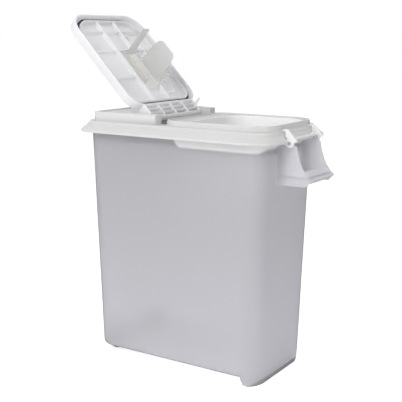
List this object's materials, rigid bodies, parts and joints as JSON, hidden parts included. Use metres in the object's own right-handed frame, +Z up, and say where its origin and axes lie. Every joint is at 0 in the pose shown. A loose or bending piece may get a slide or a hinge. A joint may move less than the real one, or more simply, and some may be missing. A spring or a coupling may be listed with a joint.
{
  "type": "rice bin",
  "caption": "Tall translucent food bin with a white lid frame, a hinged flip lid that holds a scoop, an end latch with a handle, and wheels at the far end.",
  "frame": {"origin": "on the floor, at the centre of the box round the part as stored, with its flip lid open", "axes": "+Z up; +X along the bin, from the wheels to the handle; +Y across the bin"},
  "size_m": [0.4986, 0.255, 0.6619],
  "materials": {
    "tub_plastic": "translucent natural polypropylene, satin",
    "lid_plastic": "white, moulded, semi-gloss",
    "flip_plastic": "white, slightly translucent, semi-gloss",
    "latch_plastic": "white, moulded, semi-gloss",
    "scoop_plastic": "translucent, slightly warm grey",
    "gasket_rubber": "dark, matt",
    "seal_rubber": "natural, matt",
    "rod_steel": "drawn rod",
    "wheel_plastic": "black, moulded",
    "cap_plastic": "grey, moulded"
  },
  "bodies": {
    "bin": {"bin_shell": "tub_plastic", "lid_frame": "lid_plastic", "rim_seal": "seal_rubber", "hinge_rod": "rod_steel", "axle": "rod_steel", "axle_cap_front": "cap_plastic", "axle_cap_rear": "cap_plastic"},
    "lid": {"flip_lid": "flip_plastic", "flip_lid_gasket": "gasket_rubber"},
    "scoop": {"scoop": "scoop_plastic"},
    "latch": {"latch": "latch_plastic"},
    "wheel_front": {"wheel_front": "wheel_plastic"},
    "wheel_rear": {"wheel_rear": "wheel_plastic"}
  },
  "joints": [
    {"name": "flip_lid_hinge", "type": "hinge", "parent": "bin", "child": "lid", "pos_m": [-0.06186, 0, 0.4719], "axis": [0, 1, 0], "range_deg": [0, 134]},
    {"name": "scoop_pull", "type": "slide", "parent": "lid", "child": "scoop", "axis": [0.7193, 0, 0.6947], "range_m": [0, 0.09]},
    {"name": "latch_hinge", "type": "hinge", "parent": "bin", "child": "latch", "pos_m": [0.21004, 0, 0.4435], "axis": [0, 1, 0], "range_deg": [0, 75]},
    {"name": "wheel_front_spin", "type": "hinge", "parent": "bin", "child": "wheel_front", "pos_m": [-0.16546, 0, 0.022], "axis": [0, 1, 0], "continuous": true},
    {"name": "wheel_rear_spin", "type": "hinge", "parent": "bin", "child": "wheel_rear", "pos_m": [-0.16546, 0, 0.022], "axis": [0, 1, 0], "continuous": true}
  ]
}
